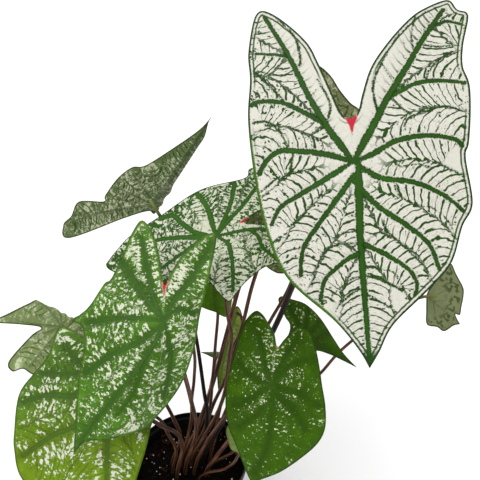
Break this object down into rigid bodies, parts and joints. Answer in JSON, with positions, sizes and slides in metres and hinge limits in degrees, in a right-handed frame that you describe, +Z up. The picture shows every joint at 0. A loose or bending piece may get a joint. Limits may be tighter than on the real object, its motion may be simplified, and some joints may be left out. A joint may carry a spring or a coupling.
{
  "type": "potted caladium plant",
  "caption": "Potted caladium: heart-shaped leaves, white, speckled and dark green, on slim brown stalks that rise from the soil of a small round black pot.",
  "frame": {"origin": "centre of the underside of the pot, which stands on the ground there", "axes": "+Z up along the pot's axis, -Y towards the viewer of the picture, +X to the viewer's right"},
  "size_m": [0.45, 0.3192, 0.566],
  "materials": {
    "pot": "smooth satin black",
    "potting_mix": "rough and crumbly",
    "tuber": "matt",
    "shoot": "satin",
    "stalk": "satin",
    "white_leaf": "satin, white between green veins",
    "flecked_leaf": "satin, green with white flecks",
    "dark_leaf": "satin, dark green with few pale flecks",
    "leaf_back": "matt olive underside"
  },
  "bodies": {
    "root": {"pot": "pot", "soil": "potting_mix", "tuber": "tuber", "shoot": "shoot", "leaf_01_blade": "white_leaf", "leaf_01_stalk": "stalk", "leaf_02_blade": "white_leaf", "leaf_02_stalk": "stalk", "leaf_03_blade": "flecked_leaf", "leaf_03_stalk": "stalk", "leaf_04_blade": "flecked_leaf", "leaf_04_stalk": "stalk", "leaf_05_blade": "leaf_back", "leaf_05_stalk": "stalk", "leaf_06_blade": "leaf_back", "leaf_06_stalk": "stalk", "leaf_07_blade": "dark_leaf", "leaf_07_stalk": "stalk", "leaf_08_blade": "dark_leaf", "leaf_08_stalk": "stalk", "leaf_09_blade": "leaf_back", "leaf_09_stalk": "stalk", "leaf_10_blade": "leaf_back", "leaf_10_stalk": "stalk", "leaf_11_blade": "dark_leaf", "leaf_11_stalk": "stalk", "leaf_12_blade": "leaf_back", "leaf_12_stalk": "stalk", "leaf_13_blade": "leaf_back", "leaf_13_stalk": "stalk", "leaf_14_blade": "flecked_leaf", "leaf_14_stalk": "stalk", "leaf_15_blade": "dark_leaf", "leaf_15_stalk": "stalk", "leaf_16_blade": "flecked_leaf", "leaf_16_stalk": "stalk", "leaf_17_blade": "flecked_leaf", "leaf_17_stalk": "stalk", "leaf_18_blade": "flecked_leaf", "leaf_18_stalk": "stalk"}
  },
  "joints": []
}
